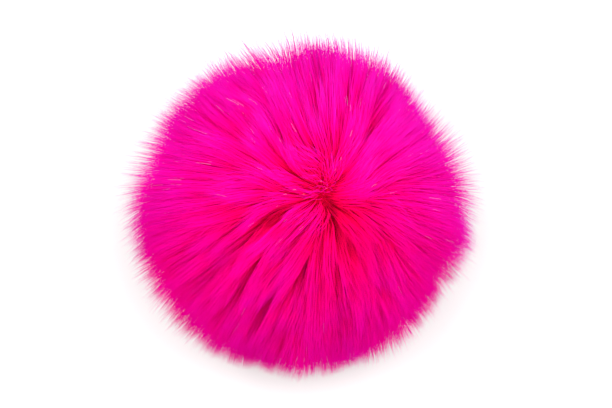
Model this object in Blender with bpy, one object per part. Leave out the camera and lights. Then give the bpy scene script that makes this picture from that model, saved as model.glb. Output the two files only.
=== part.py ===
# A long-pile fur pom pom at rest on a table: one ball of dense under-fur, with its locks grown out of it.
# Metres, +Z up. The origin is on the table, under the ball's middle. +X is its right and -Y its front.
import math
import random
from collections import namedtuple

import bmesh
import bpy
import numpy as np
from mathutils import Vector

# The ball of under-fur, which holds the locks' roots. They are drawn towards the crown, least from below
BALL_RADIUS = 0.0375
BALL_CENTRE = Vector((0.0, 0.0, 0.0385))
BALL_SQUASH = 0.94
BALL_DIVISIONS = 3
ROOT_SCATTER = 0.035
ROOTS_TO_CROWN = 0.45
DRAWN_FROM = -0.9
DRAWN_FULL = 0.6

# The underside: a flat spot where the fur is pressed to a mat, and round it a border with no locks
FLAT_SPOT_RADIUS = 0.019
BARE_RADIUS = 0.0205

# The crown, where the pile parts and falls away to all sides
CROWN = Vector((0.30, -0.20, 1.0)).normalized()

# How a lock grows: outwards, over and away from the crown, and a little down, and the front falls forwards
LEAN = 1.15
LEAN_SOON = 0.35
LEAN_FULL = 0.5
LEAN_GONE = -0.7
WEIGHT = 0.14
DRAPE = 0.45
DRAPE_FROM = 0.016
DRAPE_FULL = -0.020
FLOOR_FADE = 0.016
GROWTH_STEP = 0.002
LONGEST_LOCK = 0.040
LONGEST_UNDER = 0.020
LENGTH_SCATTER = 0.05
TIP_SWAY = 0.0010

# A lock's width along its length, as a share of the room it has between its neighbours
Ring = namedtuple("Ring", "along width")
RINGS = (
    Ring(0.00, 0.86),
    Ring(0.30, 0.84),
    Ring(0.62, 0.66),
    Ring(0.86, 0.34),
)

# How far the fur reaches from the ball's middle, by bearing, anticlockwise from +X
Reach = namedtuple("Reach", "bearing distance")
REACHES = (
    Reach(0, 0.0565),
    Reach(35, 0.0532),
    Reach(60, 0.0555),
    Reach(85, 0.0546),
    Reach(105, 0.0518),
    Reach(125, 0.0538),
    Reach(150, 0.0538),
    Reach(180, 0.0558),
    Reach(200, 0.0568),
    Reach(240, 0.0570),
    Reach(270, 0.0558),
    Reach(312, 0.0556),
    Reach(330, 0.0532),
    Reach(345, 0.0568),
)
REACH_UP = 0.0550

FUR_COLOUR = (0.9, 0.0, 0.3, 1.0)
FUR_ROUGHNESS = 0.6


def clear_scene():
    for thing in list(bpy.data.objects):
        bpy.data.objects.remove(thing, do_unlink=True)


def fur_material():
    material = bpy.data.materials.new("hot pink fur")
    material.use_nodes = True
    shader = material.node_tree.nodes["Principled BSDF"]
    shader.inputs["Base Color"].default_value = FUR_COLOUR
    shader.inputs["Roughness"].default_value = FUR_ROUGHNESS
    shader.inputs["Metallic"].default_value = 0.0
    return material


def smooth(share):
    """Eases from 0 to 1."""
    held = min(max(share, 0.0), 1.0)
    return held * held * (3 - 2 * held)


def from_middle(point):
    """A point as a vector from the ball's middle, with the squash taken out."""
    away = point - BALL_CENTRE
    return Vector((away.x, away.y, away.z / BALL_SQUASH))


def reach_at(away):
    """How far the fur goes in a direction: by bearing at the ball's sides, and even at its top."""
    out = away.normalized()
    at_side = np.interp(
        math.degrees(math.atan2(out.y, out.x)),
        [row.bearing for row in REACHES],
        [row.distance for row in REACHES],
        period=360,
    )
    return REACH_UP + (float(at_side) - REACH_UP) * math.hypot(out.x, out.y)


def growth(point):
    """The direction in which the pile grows at a point. It turns level as it nears the table."""
    out = from_middle(point).normalized()
    over = out * CROWN.dot(out) - CROWN
    over /= math.hypot(over.length, LEAN_SOON)
    way = out + over * LEAN * smooth((out.z - LEAN_GONE) / (LEAN_FULL - LEAN_GONE))
    way.y -= DRAPE * smooth((DRAPE_FROM - point.y) / (DRAPE_FROM - DRAPE_FULL))
    way.z -= WEIGHT
    if way.z < 0:
        way.z *= smooth(point.z / FLOOR_FADE)
    return way.normalized()


def grow(point, length):
    """Where a hair that has come to a point gets to over a further length."""
    steps = max(math.ceil(length / GROWTH_STEP), 1)
    step = length / steps
    place = point.copy()
    for _ in range(steps):
        place += growth(place + growth(place) * (step / 2)) * step
    return place


def lock_length(root):
    """The length that takes a lock from its root to the edge of the fur, or less underneath."""
    sunk = smooth(-from_middle(root).normalized().z)
    longest = LONGEST_LOCK + (LONGEST_UNDER - LONGEST_LOCK) * sunk
    length = GROWTH_STEP
    tip = grow(root, length)
    while length < longest and from_middle(tip).length < reach_at(from_middle(tip)):
        tip = grow(tip, GROWTH_STEP)
        length += GROWTH_STEP
    return length


def grow_lock(mesh, face, chance):
    """Draws one face of the ball out into a bent, three-sided lock with a pointed tip."""
    corners = [vert.co.copy() for vert in face.verts]
    middle = face.calc_center_median()
    length = lock_length(middle) * (1 + chance.uniform(-LENGTH_SCATTER, LENGTH_SCATTER))
    sway = Vector([chance.uniform(-TIP_SWAY, TIP_SWAY) for _ in range(3)])
    sway.z = abs(sway.z)
    grown = 0.0
    for ring in RINGS:
        stretch = length * ring.along - grown
        if stretch > 0:
            middle = grow(middle, stretch)
            corners = [grow(corner, stretch) for corner in corners]
        grown = length * ring.along
        face = bmesh.ops.extrude_discrete_faces(mesh, faces=[face])["faces"][0]
        for vert, corner in zip(face.verts, corners):
            vert.co = middle.lerp(corner, ring.width) + sway * ring.along**2
    tip = bmesh.ops.poke(mesh, faces=[face])["verts"][0]
    tip.co = grow(middle, length - grown) + sway


def under_fur_ball(chance):
    """The ball, its corners drawn towards the crown and scattered so that the locks stand in no rows."""
    mesh = bmesh.new()
    bmesh.ops.create_icosphere(mesh, subdivisions=BALL_DIVISIONS, radius=1.0)
    for vert in mesh.verts:
        scatter = Vector([chance.uniform(-ROOT_SCATTER, ROOT_SCATTER) for _ in range(3)])
        drawn = ROOTS_TO_CROWN * smooth((vert.co.dot(CROWN) - DRAWN_FROM) / (DRAWN_FULL - DRAWN_FROM))
        out = (vert.co + CROWN * drawn + scatter).normalized() * BALL_RADIUS
        vert.co = BALL_CENTRE + Vector((out.x, out.y, out.z * BALL_SQUASH))
        if out.z < 0 and math.hypot(out.x, out.y) < FLAT_SPOT_RADIUS:
            vert.co.z = 0.0
    return mesh


def has_lock(face):
    """True of a face of the ball that isn't on its underside."""
    middle = face.calc_center_median()
    return middle.z > BALL_CENTRE.z or math.hypot(middle.x, middle.y) > BARE_RADIUS


def make_pom_pom(collection):
    chance = random.Random(7)
    mesh = under_fur_ball(chance)
    for face in [face for face in mesh.faces if has_lock(face)]:
        grow_lock(mesh, face, chance)
    data = bpy.data.meshes.new("pom_pom")
    mesh.to_mesh(data)
    mesh.free()
    data.materials.append(fur_material())
    data.shade_smooth()
    pom_pom = bpy.data.objects.new("pom_pom", data)
    collection.objects.link(pom_pom)


clear_scene()
parts = bpy.data.collections.new("Pom pom")
bpy.context.scene.collection.children.link(parts)
make_pom_pom(parts)
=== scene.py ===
import math

import bmesh
import bpy
import numpy as np
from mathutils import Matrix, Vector, kdtree, noise


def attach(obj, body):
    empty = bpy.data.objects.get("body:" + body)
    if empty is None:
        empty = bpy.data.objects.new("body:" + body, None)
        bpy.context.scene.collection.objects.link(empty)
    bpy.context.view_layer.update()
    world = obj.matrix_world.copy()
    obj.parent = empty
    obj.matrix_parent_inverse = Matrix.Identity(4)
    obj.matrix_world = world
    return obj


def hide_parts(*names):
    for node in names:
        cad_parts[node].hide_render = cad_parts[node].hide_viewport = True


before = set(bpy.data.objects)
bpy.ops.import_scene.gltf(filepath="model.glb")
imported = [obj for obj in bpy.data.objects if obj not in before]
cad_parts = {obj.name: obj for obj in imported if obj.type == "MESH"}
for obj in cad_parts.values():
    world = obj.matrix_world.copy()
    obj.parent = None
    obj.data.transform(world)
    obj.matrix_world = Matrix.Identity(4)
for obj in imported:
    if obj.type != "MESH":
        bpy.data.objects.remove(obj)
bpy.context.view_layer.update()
print("frame loaded:", len(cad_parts), "solid")


# The ball that the pile grows from. Metres; +Z is up and -Y is the front
ball = {
    "middle": (0.0, 0.0, 0.0385),
    "radius": 0.0365,
    "squash": 0.94,
    "crown": (0.30, -0.20, 1.0),        # where the pile parts
    "rootsToCrown": 0.42,               # how far the roots crowd towards the crown
    "rootDepth": 0.001,                 # how far inside the ball the hairs start
}

# How the pile grows: outwards, over and away from the crown, and a little down
pile = {
    "lean": 1.30,
    "leanSoon": 0.65,                   # how far from the crown it is half leaning
    "leanFull": 0.5,                    # it leans all it can above this height, of a ball of 1
    "leanGone": -0.7,                   # and below this one it only grows outwards
    "weight": 0.14,
    "drape": 0.45,                      # the front falls forwards
    "drapeFrom": 0.016,
    "drapeFull": -0.020,
    "floorFade": 0.012,                 # it turns level below this height
    "floorGap": 0.0005,
    "step": 0.0015,
    "longest": 0.051,
    "stray": 0.15,                      # slow waves in the pile
    "strayLength": (0.016, 0.030),
    "strayWaves": 7,
    "straySeed": 3,
    # how far the fur goes from the ball's middle, by bearing from +X in degrees, and at the top
    "reach": {
        0: 0.0632, 15: 0.0605, 20: 0.0591, 30: 0.0577, 45: 0.0551, 60: 0.0601, 70: 0.0607,
        75: 0.0626, 90: 0.0609, 100: 0.0626, 105: 0.0594, 110: 0.0617, 120: 0.0588,
        125: 0.0590, 130: 0.0579, 135: 0.0588, 150: 0.0585, 160: 0.0584, 165: 0.0603,
        180: 0.0627, 195: 0.0613, 210: 0.0621, 225: 0.0605, 240: 0.0590, 255: 0.0559,
        270: 0.0581, 285: 0.0563, 300: 0.0594, 310: 0.0594, 315: 0.0581, 330: 0.0588,
        335: 0.0611, 345: 0.0600, 350: 0.0597,
    },
    "reachUp": 0.0560,
    # how ragged its edge is there: less than 1 is crisper
    "fringe": {
        0: 1.5, 15: 1.2, 30: 1.1, 45: 0.9, 60: 1.0, 75: 1.1, 90: 2.0, 105: 2.25,
        120: 1.5, 135: 0.8, 150: 1.1, 165: 1.4, 180: 1.2, 195: 0.9, 210: 1.0, 225: 1.0,
        240: 0.2, 255: 0.3, 270: 0.2, 285: 0.4, 300: 0.9, 315: 0.9, 330: 1.4, 345: 0.5,
    },
    "fringeUp": 1.0,
}

middle = np.array(ball["middle"])
squash = np.array([1.0, 1.0, ball["squash"]])
crown = np.array(ball["crown"]) / np.linalg.norm(ball["crown"])


def unit(rows):
    return rows / np.maximum(np.linalg.norm(rows, axis=-1, keepdims=True), 1e-12)


def smooth(share):
    held = np.clip(share, 0.0, 1.0)
    return held * held * (3 - 2 * held)


def fromMiddle(places):
    return (places - middle) / squash


def byBearing(away, table, atTop):
    # a table's value round the sides, going over to one value at the top
    out = unit(away)
    bearings = sorted(table)
    values = [table[bearing] for bearing in bearings]
    atSide = np.interp(np.degrees(np.arctan2(out[:, 1], out[:, 0])), bearings, values, period=360)
    return atTop + (atSide - atTop) * np.hypot(out[:, 0], out[:, 1])


def reachAt(away):
    return byBearing(away, pile["reach"], pile["reachUp"])


strayChance = np.random.default_rng(pile["straySeed"])
strayTurn = unit(strayChance.normal(0, 1, (pile["strayWaves"], 3)))
strayTurn *= 2 * math.pi / strayChance.uniform(*pile["strayLength"], (pile["strayWaves"], 1))
strayPush = unit(strayChance.normal(0, 1, (pile["strayWaves"], 3))) * pile["stray"]
strayStart = strayChance.uniform(0, 2 * math.pi, pile["strayWaves"])


def growth(places):
    # the direction the pile grows in at each place, turning level near the floor
    out = unit(fromMiddle(places))
    over = out * (out @ crown)[:, None] - crown
    over = over / np.sqrt((over**2).sum(1) + pile["leanSoon"] ** 2)[:, None]
    leaning = pile["lean"] * smooth((out[:, 2] - pile["leanGone"]) / (pile["leanFull"] - pile["leanGone"]))
    draping = smooth((pile["drapeFrom"] - places[:, 1]) / (pile["drapeFrom"] - pile["drapeFull"]))
    way = out + over * leaning[:, None] + np.sin(places @ strayTurn.T + strayStart) @ strayPush
    way[:, 2] -= pile["weight"]
    way[:, 1] -= pile["drape"] * draping
    falling = way[:, 2] < 0
    way[falling, 2] *= smooth(places[falling, 2] / pile["floorFade"])
    return unit(way)


def trace(roots):
    # follows the growth from each root in even steps, and finds the length at which it leaves the fur
    step = pile["step"]
    path = [roots]
    for _ in range(int(pile["longest"] / step)):
        here = path[-1]
        path.append(here + growth(here + growth(here) * step / 2) * step)
    path = np.stack(path, 1)
    inside = np.ones(path.shape[:2], bool)
    for ring in range(path.shape[1]):
        away = fromMiddle(path[:, ring])
        inside[:, ring] = np.linalg.norm(away, axis=1) < reachAt(away)
    lengths = np.cumprod(inside, axis=1).sum(1) * step
    return path, lengths


def along(path, lengths, shares):
    # places at the given shares of each length, all short of the path's last point
    at = np.clip(lengths[:, None] * shares[None] / pile["step"], 0, path.shape[1] - 1.001)
    low = at.astype(int)
    part = (at - low)[..., None]
    rows = np.arange(len(path))[:, None]
    return path[rows, low] * (1 - part) + path[rows, low + 1] * part


def rootPlaces(count, chance, scatter, toCrown, depth=0.0):
    # evenly over the ball by the golden angle, then drawn towards the crown
    turns = np.arange(count) * math.pi * (3 - math.sqrt(5))
    height = 1 - (np.arange(count) + 0.5) * 2 / count
    ring = np.sqrt(1 - height**2)
    out = np.stack([ring * np.cos(turns), ring * np.sin(turns), height], 1)
    out = unit(out + crown * toCrown + chance.normal(0, scatter, out.shape))
    return middle + out * (ball["radius"] - depth) * squash


def nearest(places, centres):
    tree = kdtree.KDTree(len(centres))
    for index, centre in enumerate(centres):
        tree.insert(centre, index)
    tree.balance()
    return np.array([tree.find(place)[1] for place in places])


# One hair: a thin three-sided spike with rings along it, so that it can bend
hair = {
    "rings": (0.0, 0.40, 0.75),
    "width": (0.85, 1.0, 0.50),
    "thickness": 0.00021,
    "thicknessScatter": (0.70, 1.25),
    "mergeDistance": 0.00001,
    "asFur": 0.4,                       # how far it is shaded as the whole ball and not by itself
    "toneCells": 32,                    # tones across the UV map
    "cellMargin": 0.1,                  # the part of a tone's cell left clear at each side
    "seed": 5,
}
levels = np.array([*hair["rings"], 1.0])
widths = np.array([*hair["width"], 0.0])


def makeSpike():
    # a cone of height 1 that stands on its base, cut at each ring
    bm = bmesh.new()
    bmesh.ops.create_cone(bm, cap_ends=True, segments=3, radius1=1.0, radius2=0.0, depth=1.0)
    bmesh.ops.translate(bm, verts=bm.verts, vec=(0, 0, 0.5))
    bmesh.ops.remove_doubles(bm, verts=bm.verts, dist=hair["mergeDistance"])
    for height in hair["rings"][1:]:
        everything = bm.verts[:] + bm.edges[:] + bm.faces[:]
        bmesh.ops.bisect_plane(bm, geom=everything, plane_co=(0, 0, height), plane_no=(0, 0, 1))
    bm.verts.index_update()
    rings = np.array([np.abs(levels - vert.co.z).argmin() for vert in bm.verts])
    sides = np.array([tuple(vert.co.xy.normalized()) for vert in bm.verts])
    sides[rings == len(levels) - 1] = 0.0
    faces = [[vert.index for vert in face.verts] for face in bm.faces]
    bm.free()
    return rings, sides, faces


spikeRing, spikeSide, spikeFaces = makeSpike()
spikeTriangles = sum(len(face) - 2 for face in spikeFaces)
print("hair:", len(spikeRing), "points,", spikeTriangles, "triangles")


def layHairs(name, paths, thickness, tones, fade):
    # lays one spike along each path, and writes its tone and its fade to the UV map
    count = len(paths)
    chance = np.random.default_rng(hair["seed"])
    tangents = unit(np.gradient(paths, axis=1))
    handle = unit(np.cross(tangents[:, 1], chance.normal(0, 1, (count, 3))))[:, None]
    right = unit(handle - tangents * (handle * tangents).sum(2, keepdims=True))
    up = np.cross(tangents, right)
    roundness = right[:, spikeRing] * spikeSide[None, :, :1] + up[:, spikeRing] * spikeSide[None, :, 1:]
    width = (widths[None, :] * thickness[:, None] / 2)[:, spikeRing, None]
    places = paths[:, spikeRing] + roundness * width

    corners = np.concatenate([np.array(face) for face in spikeFaces])
    sizes = np.array([len(face) for face in spikeFaces])
    loops = (corners[None] + np.arange(count)[:, None] * len(spikeRing)).ravel()
    starts = np.concatenate([[0], np.cumsum(np.tile(sizes, count))[:-1]])
    mesh = bpy.data.meshes.new(name)
    mesh.vertices.add(count * len(spikeRing))
    mesh.loops.add(len(loops))
    mesh.polygons.add(len(starts))
    mesh.vertices.foreach_set("co", places.astype(np.float32).ravel())
    mesh.loops.foreach_set("vertex_index", loops.astype(np.int32))
    mesh.polygons.foreach_set("loop_start", starts.astype(np.int32))

    cells, margin = hair["toneCells"], hair["cellMargin"]
    turn = (np.arctan2(spikeSide[:, 1], spikeSide[:, 0]) / (2 * math.pi)) % 1.0
    u = (np.floor(tones * cells)[:, None] + margin + (1 - 2 * margin) * turn[None, corners]) / cells
    v = levels[spikeRing][None, corners] * fade[:, None]
    uv = mesh.uv_layers.new(name="OFBake")
    uv.data.foreach_set("uv", np.stack([u, v], -1).astype(np.float32).ravel())
    mesh.update(calc_edges=True)
    mesh.validate()
    mesh.shade_smooth()

    outward = unit(fromMiddle(places.reshape(-1, 3)))
    normals = unit(roundness.reshape(-1, 3) * (1 - hair["asFur"]) + outward * hair["asFur"])
    mesh.normals_split_custom_set_from_vertices(normals)
    piece = bpy.data.objects.new(name, mesh)
    bpy.context.scene.collection.objects.link(piece)
    return piece


# Hairs gather to the tips of locks, and locks lean together in clumps
fur = {
    "seed": 11,
    "hairs": 58000,
    "locks": 1800,
    "clumps": 300,
    "hairScatter": 0.008,
    "lockScatter": 0.03,
    "clumpScatter": 0.04,
    "locksToCrown": 0.12,               # less than the roots, so locks are broader near the crown
    "crownWidth": 0.16,
    "edgeHeight": 0.08,                 # where the edge is, as a height on a ball of 1
    "edgeWidth": 0.12,
    "edgeFade": 0.40,
    "frontFrom": 0.005,                 # the front starts here, and is all front this much further on
    "frontOver": 0.045,
    "gatherClump": 0.35,                # how far the locks of a clump come together
    "gatherClumpCurve": 1.4,            # and how late along them
    "gatherBack": 0.60,                 # how far the hairs of a lock come together
    "gatherFront": 0.74,
    "gatherCurve": 1.3,
    "gatherCrown": 0.60,                # less near the crown
    "gatherEdge": 0.15,                 # and round the edge
    "clumpBend": 0.0016,
    "lockBend": 0.0021,
    "lockBendFront": 0.0025,
    "lockBendCrown": 0.0050,            # the locks at the crown point all ways
    "lockBendCurve": 1.2,
    "clumpLength": 0.08,                # how much lengths differ
    "lockLengthBack": 0.22,
    "lockLengthFront": 0.50,
    "lockLengthSpan": (-1.0, 0.25),     # more are shorter than longer
    "hairLength": 0.40,                 # how much shorter a lock's shortest hairs are
    "hairLengthLean": 0.45,
    "hairLengthMost": 0.90,
    "pastEdge": 0.0001,                 # how far the longest hairs may go past the edge
    "trimMost": 0.3,
    "frizz": 0.00015,                   # small kinks along a hair
    "wave": 0.0009,                     # and how far its tip strays
    "tones": (0.20, 0.50, 0.30),        # how much of a hair's tone is its clump's, its lock's and its own
    "paintedBackLightFrontShade": 0.10,                   # painted light and shade: lighter at the back and darker in front
    "paintedRimLight": 0.15,                   # and painted rim light: lighter at the edge of the back
    "toneMost": 0.96,
    "crownPaintedShade": 0.66,                  # painted shade: redder, darker hair round the crown, out to this far
    "fadeOver": 0.032,
    "frontPaintedShade": 0.80,                  # and painted shade in front
    "fadeLeft": 0.08,                   # and redder hair on the left
    "pinkerRight": 0.10,                # and pinker hair on the right of the back
    "sideFull": 0.045,
    "glints": 0.010,                    # the share of hairs with a painted glint
    "glintsFront": 0.3,
    "glintTone": 0.99,
    "glintWidth": 0.6,
    "pieces": 5,
}


def toFront(places):
    return smooth((fur["frontFrom"] - places[:, 1]) / fur["frontOver"])


def backToFront(back, front, places):
    return back + (front - back) * toFront(places)


def atCrown(places):
    return 1 - smooth((1 - unit(fromMiddle(places)) @ crown) / fur["crownWidth"])


def atEdge(tips):
    # 1 where the tips make the edge of the fur, seen from above
    fromEdge = np.abs(unit(fromMiddle(tips))[:, 2] - fur["edgeHeight"])
    return 1 - smooth((fromEdge - fur["edgeWidth"]) / fur["edgeFade"])


def gathered(roots, tips):
    # how strongly locks form: less near the crown and at the edge
    nearCrown = 1 - (1 - fur["gatherCrown"]) * atCrown(roots)
    return nearCrown * (1 - (1 - fur["gatherEdge"]) * atEdge(tips))


def towardsTip(amounts, curve):
    # an amount for each hair, growing along it from nothing at its root
    return np.asarray(amounts)[..., None, None] * (levels**curve)[:, None]


# Where the pile opens and shows its depth. A hair that would lie over an opening stops short of it
openings = {
    "rows": (                           # x, y, bearing of its length, half its length, half its width, depth
        (-0.0093, -0.0121, -148, 0.0052, 0.0021, 0.013),
        (0.0153, -0.0216, -89, 0.0024, 0.0014, 0.011),
        (0.0240, -0.0237, -70, 0.0032, 0.0011, 0.008),
        (0.0053, -0.0236, -113, 0.0030, 0.0010, 0.008),
        (0.0108, -0.0305, -105, 0.0028, 0.0009, 0.008),
        (-0.0111, -0.0381, -122, 0.0040, 0.0009, 0.007),
        (-0.0066, -0.0486, -133, 0.0022, 0.0010, 0.005),
        (0.0254, -0.0413, -61, 0.0022, 0.0011, 0.005),
        (0.0094, -0.0115, -90, 0.0018, 0.0009, 0.011),
        (0.0190, -0.0254, -89, 0.0020, 0.0009, 0.008),
        (0.0125, 0.0230, -103, 0.0060, 0.0014, 0.007),
        (0.0071, 0.0100, -112, 0.0025, 0.0009, 0.010),
        (0.0173, 0.0087, -134, 0.0025, 0.0009, 0.007),
        (-0.0032, 0.0027, -34, 0.0036, 0.0008, 0.008),
        (-0.0001, -0.0019, -24, 0.0037, 0.0009, 0.010),
        (-0.0089, -0.0030, -151, 0.0030, 0.0009, 0.008),
        (0.0085, -0.0065, -36, 0.0026, 0.0017, 0.018),
        (0.0142, -0.0103, -36, 0.0014, 0.0011, 0.012),
        (-0.0236, -0.0254, -143, 0.0032, 0.0009, 0.007),
        (-0.0191, -0.0339, -132, 0.0027, 0.0009, 0.007),
        (0.0235, -0.0445, -60, 0.0025, 0.0012, 0.004),
    ),
    "shortest": 0.3,
    "tries": 22,
    "ragged": (0.75, 1.0),              # cut ends are uneven
}


def isOver(places, sunk, row):
    x, y, bearing, length, width, depth = row
    turn = math.radians(bearing)
    ahead = (places[:, 0] - x) * math.cos(turn) + (places[:, 1] - y) * math.sin(turn)
    aside = (places[:, 1] - y) * math.cos(turn) - (places[:, 0] - x) * math.sin(turn)
    return ((ahead / length) ** 2 + (aside / width) ** 2 < 1) & (sunk < depth) & (places[:, 2] > middle[2])


def cutShort(hairs, shares):
    # the same hairs, each ending at a share of its length
    at = levels[None] * shares[:, None]
    upper = np.searchsorted(levels, at).clip(1, len(levels) - 1)
    part = ((at - levels[upper - 1]) / (levels[upper] - levels[upper - 1]))[..., None]
    rows = np.arange(len(hairs))[:, None]
    return hairs[rows, upper - 1] * (1 - part) + hairs[rows, upper] * part


def cutAtOpenings(hairs, chance):
    kept = np.ones(len(hairs))
    for share in np.linspace(1.0, openings["shortest"], openings["tries"]):
        places = cutShort(hairs, np.full(len(hairs), share))[:, -1]
        away = fromMiddle(places)
        sunk = reachAt(away) - np.linalg.norm(away, axis=1)
        for row in openings["rows"]:
            kept[isOver(places, sunk, row)] = share
    cut = kept < 1
    kept[cut] *= chance.uniform(*openings["ragged"], cut.sum())
    print("openings:", cut.sum(), "hairs cut short")
    return cutShort(hairs, kept), kept


def trimmed(hairs, lengths):
    # the hairs that go past the fur's edge end a little beyond it
    away = fromMiddle(hairs[:, -1])
    past = np.linalg.norm(away, axis=1) - reachAt(away) - fur["pastEdge"]
    return cutShort(hairs, 1 - np.clip(past / lengths, 0.0, fur["trimMost"]))


def growClumps(chance):
    roots = rootPlaces(fur["clumps"], chance, fur["clumpScatter"], ball["rootsToCrown"])
    path, lengths = trace(roots)
    strength = gathered(roots, along(path, lengths, levels)[:, -1])
    scale = 1 + chance.uniform(-1, 1, len(roots)) * fur["clumpLength"] * strength
    clumps = along(path, lengths * scale, levels)
    bend = chance.normal(0, fur["clumpBend"], (len(clumps), 1, 3))
    return roots, clumps + bend * towardsTip(strength, 2), scale


def growLocks(chance, clumpRoots, clumps, clumpScale):
    roots = rootPlaces(fur["locks"], chance, fur["lockScatter"], fur["locksToCrown"])
    path, lengths = trace(roots)
    clump = nearest(roots, clumpRoots)
    tips = along(path, lengths, levels)[:, -1]
    strength = gathered(roots, tips)
    change = backToFront(fur["lockLengthBack"], fur["lockLengthFront"], tips) * strength
    scale = clumpScale[clump] * (1 + chance.uniform(*fur["lockLengthSpan"], len(roots)) * change)
    locks = along(path, lengths * scale, levels)
    locks += (clumps[clump] - locks) * towardsTip(fur["gatherClump"] * strength, fur["gatherClumpCurve"])
    bend = fur["lockBend"] + (fur["lockBendCrown"] - fur["lockBend"]) * atCrown(roots)
    bend += (fur["lockBendFront"] - fur["lockBend"]) * toFront(tips) * strength
    locks += chance.normal(0, 1, (len(locks), 1, 3)) * towardsTip(bend, fur["lockBendCurve"])
    return roots, locks, scale, clump


def toneHairs(shared, tips, chance):
    # tones from 0, dark, to 1, light, with painted light and shade from back to front, and the few hairs
    # with a painted glint
    front = toFront(tips)
    tones = shared + chance.uniform(0, 1, len(tips)) * fur["tones"][2]
    # painted light and shade: tones raised at the back and its edge, lowered in front
    tones += fur["paintedBackLightFrontShade"] * (1 - 2 * front) + fur["paintedRimLight"] * atEdge(tips) * (1 - front)
    tones = np.clip(tones, 0.0, fur["toneMost"])
    # painted glint: a few hairs, fewer in front, get the top tone
    paintedGlints = chance.uniform(0, 1, len(tips)) < fur["glints"] * (1 - (1 - fur["glintsFront"]) * front)
    tones[paintedGlints] = fur["glintTone"]
    return tones, paintedGlints


def fadeHairs(tips, kept):
    # how far along its colours each hair gets: the less, the redder and darker it is. This paints shade
    # round the crown, in front and on hairs cut short at the openings
    crownTop = along(*trace(middle + crown[None] * ball["radius"] * squash), levels)[0, -1]
    fromCrown = smooth(np.linalg.norm(tips - crownTop, axis=1) / fur["fadeOver"])
    fade = fur["crownPaintedShade"] + (1 - fur["crownPaintedShade"]) * fromCrown
    # painted shade: darker in front, and on hairs cut short at an opening, which keep the colour of the
    # point where they were cut
    fade = fade * backToFront(1.0, fur["frontPaintedShade"], tips) * kept
    left, right = smooth(-tips[:, 0] / fur["sideFull"]), smooth(tips[:, 0] / fur["sideFull"])
    fade *= 1 - fur["fadeLeft"] * left
    return np.minimum(fade * (1 + fur["pinkerRight"] * right * (1 - toFront(tips))), kept)


def growFur():
    chance = np.random.default_rng(fur["seed"])
    clumpRoots, clumps, clumpScale = growClumps(chance)
    lockRoots, locks, lockScale, lockClump = growLocks(chance, clumpRoots, clumps, clumpScale)
    lockTone = chance.uniform(0, 1, len(lockRoots))
    clumpTone = chance.uniform(0, 1, len(clumpRoots))

    roots = rootPlaces(fur["hairs"], chance, fur["hairScatter"], ball["rootsToCrown"], ball["rootDepth"])
    path, lengths = trace(roots)
    lock = nearest(roots, lockRoots)
    tips = along(path, lengths, levels)[:, -1]
    ragged = byBearing(fromMiddle(tips), pile["fringe"], pile["fringeUp"])
    shorter = np.minimum(fur["hairLength"] * ragged, fur["hairLengthMost"])
    shorter = shorter * chance.uniform(0, 1, len(roots)) ** fur["hairLengthLean"]
    hairs = along(path, lengths * lockScale[lock] * (1 - shorter), levels)
    pull = backToFront(fur["gatherBack"], fur["gatherFront"], tips) * gathered(roots, tips)
    hairs += (locks[lock] - hairs) * towardsTip(pull, fur["gatherCurve"])
    hairs += chance.normal(0, fur["wave"], (len(hairs), 1, 3)) * towardsTip(1.0, 2)
    hairs += chance.normal(0, fur["frizz"], hairs.shape) * towardsTip(1.0, 1)
    hairs[..., 2] = np.maximum(hairs[..., 2], pile["floorGap"])
    hairs = trimmed(hairs, lengths)
    hairs, kept = cutAtOpenings(hairs, chance)
    thickness = hair["thickness"] * chance.uniform(*hair["thicknessScatter"], len(hairs))
    shared = clumpTone[lockClump[lock]] * fur["tones"][0] + lockTone[lock] * fur["tones"][1]
    tones, paintedGlints = toneHairs(shared, tips, chance)
    thickness[paintedGlints] *= fur["glintWidth"]
    return hairs, thickness, tones, fadeHairs(tips, kept), roots


class Wire:
    # a socket that sums are written with
    def __init__(self, finish, socket):
        self.finish = finish
        self.socket = socket

    def maths(self, operation, *values):
        return self.finish.add("ShaderNodeMath", {"operation": operation}, dict(enumerate(values)))

    def __sub__(self, other):
        return self.maths("SUBTRACT", self, other)

    def __rsub__(self, other):
        return self.maths("SUBTRACT", other, self)

    def __mul__(self, other):
        return self.maths("MULTIPLY", self, other)

    __rmul__ = __mul__

    def __gt__(self, other):
        return self.maths("GREATER_THAN", self, other)

    def near(self, other, reach):
        return self.maths("COMPARE", self, other, reach)


class Finish:
    # a material, and one method that adds its nodes
    def __init__(self, name):
        self.material = bpy.data.materials.new(name)
        self.material.use_nodes = True
        self.tree = self.material.node_tree
        self.shader = self.tree.nodes["Principled BSDF"]
        self.output = self.tree.nodes["Material Output"]

    def feed(self, socket, value):
        if isinstance(value, Wire):
            self.tree.links.new(value.socket, socket)
        elif socket.type == "RGBA":
            socket.default_value = (*value, 1.0)
        else:
            socket.default_value = value

    def setStops(self, elements, stops):
        while len(elements) < len(stops):
            elements.new(1.0)
        for element, (place, colour) in zip(elements, stops):
            element.position = place
            element.color = (*colour, 1.0)

    def add(self, kind, settings=None, sockets=None, output=0):
        node = self.tree.nodes.new(kind)
        for name, value in (settings or {}).items():
            if name == "stops":
                self.setStops(node.color_ramp.elements, value)
            else:
                setattr(node, name, value)
        for name, value in (sockets or {}).items():
            self.feed(node.inputs[name], value)
        return Wire(self, node.outputs[output])

    def ramp(self, share, stops):
        return self.add("ShaderNodeValToRGB", {"stops": stops}, {"Fac": share})

    def mix(self, share, first, second):
        # a Mix node keeps its colours in sockets 6 and 7, and its coloured result in 2
        return self.add("ShaderNodeMix", {"data_type": "RGBA"}, {"Factor": share, 6: first, 7: second}, 2)

    def shade(self, sockets):
        for name, value in sockets.items():
            self.feed(self.shader.inputs[name], value)
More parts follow.
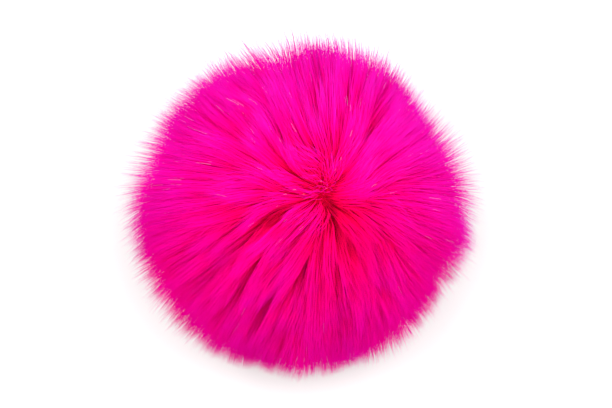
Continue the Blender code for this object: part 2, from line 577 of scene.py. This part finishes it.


# The fur's colours from root to tip, for its darkest and its lightest hairs. The dark root end is painted
# shade, deep in the pile
furColour = {
    "dark": (
        (0.00, (0.35, 0.0, 0.02)),
        (0.14, (0.74, 0.0, 0.05)),
        (0.27, (0.94, 0.0, 0.10)),
        (0.42, (0.98, 0.0, 0.19)),
        (0.75, (0.98, 0.0, 0.43)),
        (1.00, (0.99, 0.005, 0.72)),
    ),
    "light": (
        (0.00, (0.38, 0.0, 0.02)),
        (0.14, (0.76, 0.0, 0.06)),
        (0.27, (0.95, 0.0, 0.15)),
        (0.42, (0.99, 0.0, 0.27)),
        (0.75, (0.99, 0.004, 0.62)),
        (1.00, (1.00, 0.03, 0.90)),
    ),
    # painted glint: the pale colour a few hairs get along a short stretch, as the fur itself has no gloss
    "glint": (0.95, 0.50, 1.0),
    "glintFrom": 0.968,                 # the tone from which a hair gets a painted glint
    "glintAt": 0.74,                    # and where along it
    "glintReach": 0.05,
    "throughColour": (0.99, 0.0, 0.44),
    "through": 0.48,                    # how much light goes through a hair
    "roughness": 0.55,
}


def hotPinkFur():
    finish = Finish("hotPinkFur")
    place = finish.add("ShaderNodeUVMap", {"uv_map": "OFBake"})
    tone = finish.add("ShaderNodeSeparateXYZ", sockets={"Vector": place}, output="X")
    share = finish.add("ShaderNodeSeparateXYZ", sockets={"Vector": place}, output="Y")
    dark = finish.ramp(share, furColour["dark"])
    light = finish.ramp(share, furColour["light"])
    # painted glint, on hairs of the top tone and only along a short stretch
    paintedGlints = (tone > furColour["glintFrom"]) * share.near(furColour["glintAt"], furColour["glintReach"])
    finish.shade({
        "Base Color": finish.mix(paintedGlints, finish.mix(tone, dark, light), furColour["glint"]),
        "Roughness": furColour["roughness"],
        "Specular IOR Level": 0.0,
    })
    face = Wire(finish, finish.shader.outputs["BSDF"])
    through = finish.add("ShaderNodeBsdfTranslucent", sockets={"Color": furColour["throughColour"]})
    both = finish.add("ShaderNodeMixShader", sockets={0: furColour["through"], 1: face, 2: through})
    finish.feed(finish.output.inputs["Surface"], both)
    return finish.material


hairs, thickness, tones, fade, roots = growFur()
pinkFur = hotPinkFur()
bearings = np.arctan2(roots[:, 1] - middle[1], roots[:, 0] - middle[0])
sector = np.argsort(np.argsort(bearings)) * fur["pieces"] // len(bearings)
for index in range(fur["pieces"]):
    mine = sector == index
    piece = layHairs(f"fur_{index + 1}", hairs[mine], thickness[mine], tones[mine], fade[mine])
    piece.data.materials.append(pinkFur)
    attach(piece, "root")
    print("fur piece", index + 1, "laid:", mine.sum(), "hairs,", mine.sum() * spikeTriangles, "triangles")


# The dense short fur that the hairs stand in, pressed flat underneath. Its dark crimson is partly painted
# shade, for the depth of the pile
underFur = {
    "divisions": 5,
    "lumps": 0.02,
    "lumpsPerMetre": 260.0,
    "flatHeight": 0.0004,
    "fill": 0.7,                        # how tightly the ball is filled
    # dark crimson, darker in the hollows: painted shade deep in the pile
    "colours": ((0.35, (0.34, 0.0, 0.015)), (0.65, (0.60, 0.0, 0.045))),
    "tuftsPerMetre": 700.0,
    "tuftDetail": 3.0,
    "tuftHeight": 0.0005,
    "tuftStrength": 0.6,
    "roughness": (1.0, 0.2),            # in the hollows, and how much less on the tufts
}


def shadedUnderFurMat():
    finish = Finish("shadedUnderFurMat")
    place = finish.add("ShaderNodeTexCoord", output="Object")
    tufts = finish.add("ShaderNodeTexNoise", sockets={
        "Vector": place,
        "Scale": underFur["tuftsPerMetre"],
        "Detail": underFur["tuftDetail"],
    })
    raised = finish.add("ShaderNodeBump", sockets={
        "Height": tufts,
        "Strength": underFur["tuftStrength"],
        "Distance": underFur["tuftHeight"],
    })
    rough, smoother = underFur["roughness"]
    finish.shade({
        "Base Color": finish.ramp(tufts, underFur["colours"]),
        "Roughness": rough - smoother * tufts,
        "Specular IOR Level": 0.0,
        "Normal": raised,
    })
    return finish.material


def makeUnderFur():
    bm = bmesh.new()
    bmesh.ops.create_icosphere(bm, subdivisions=underFur["divisions"], radius=ball["radius"])
    for vert in bm.verts:
        vert.co *= 1 + noise.noise(vert.co * underFur["lumpsPerMetre"]) * underFur["lumps"]
    bmesh.ops.scale(bm, verts=bm.verts, vec=squash)
    bmesh.ops.translate(bm, verts=bm.verts, vec=middle)
    for vert in bm.verts:
        vert.co.z = max(vert.co.z, underFur["flatHeight"])
    mesh = bpy.data.meshes.new("under_fur")
    bm.to_mesh(mesh)
    bm.free()
    mesh.shade_smooth()
    mesh.materials.append(shadedUnderFurMat())
    piece = bpy.data.objects.new("under_fur", mesh)
    bpy.context.scene.collection.objects.link(piece)
    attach(piece, "root")
    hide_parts("pom_pom")
    print("under-fur:", len(mesh.polygons), "faces")


makeUnderFur()


# The camera, high up and a little to the front
view = {
    "elevation": 80.0,
    "distance": 0.464,
    "lens": 85.0,
    "lookAt": (0.0015, -0.0010, 0.044),
    "nearest": 0.01,
}
camera = bpy.data.objects.new("camera", bpy.data.cameras.new("camera"))
bpy.context.scene.collection.objects.link(camera)
tilt = math.radians(view["elevation"])
lookAt = Vector(view["lookAt"])
camera.location = lookAt + Vector((0, -math.cos(tilt), math.sin(tilt))) * view["distance"]
camera.rotation_euler = (lookAt - camera.location).to_track_quat("-Z", "Y").to_euler()
camera.data.lens = view["lens"]
camera.data.clip_start = view["nearest"]
bpy.context.scene.camera = camera
print("camera placed")


# Two soft boxes and a faint fill from the front, all aimed at the ball
lamps = {
    "left": {"place": (-0.36, 0.05, 0.82), "size": (0.5, 0.5), "energy": 5.6},
    "right": {"place": (0.36, 0.05, 0.82), "size": (0.5, 0.5), "energy": 5.6},
    "front": {"place": (0.0, -0.30, 0.80), "size": (0.9, 0.5), "energy": 1.4},
}
studio = {
    "aim": (0.0, 0.0, 0.03),
    "sky": (1.0, 1.0, 1.0),
    "skyStrength": 1.0,
    "floorSize": 3.0,
    "floorColour": (0.63, 0.63, 0.63),
    "floorRoughness": 0.9,
    "bounces": 20,
    "bouncesInFur": 16,                 # light passes through many hairs
}
for name, row in lamps.items():
    lamp = bpy.data.lights.new(name, "AREA")
    lamp.shape = "RECTANGLE"
    lamp.size, lamp.size_y = row["size"]
    lamp.energy = row["energy"]
    holder = bpy.data.objects.new(name, lamp)
    bpy.context.scene.collection.objects.link(holder)
    holder.location = row["place"]
    holder.rotation_euler = (Vector(studio["aim"]) - holder.location).to_track_quat("-Z", "Y").to_euler()

world = bpy.data.worlds.new("studio")
bpy.context.scene.world = world
world.use_nodes = True
background = world.node_tree.nodes["Background"]
background.inputs["Color"].default_value = (*studio["sky"], 1.0)
background.inputs["Strength"].default_value = studio["skyStrength"]

bm = bmesh.new()
bmesh.ops.create_grid(bm, x_segments=1, y_segments=1, size=studio["floorSize"])
floorMesh = bpy.data.meshes.new("floor")
bm.to_mesh(floorMesh)
bm.free()
floor = bpy.data.objects.new("floor", floorMesh)
bpy.context.scene.collection.objects.link(floor)
paleFloor = Finish("paleFloor")
paleFloor.shade({"Base Color": studio["floorColour"], "Roughness": studio["floorRoughness"]})
floor.data.materials.append(paleFloor.material)
print("studio lit:", len(lamps), "lamps")

bpy.context.scene.view_settings.view_transform = "Standard"
cycles = bpy.context.scene.cycles
cycles.use_denoising = True
cycles.max_bounces = studio["bounces"]
cycles.diffuse_bounces = studio["bouncesInFur"]
cycles.transmission_bounces = studio["bouncesInFur"]
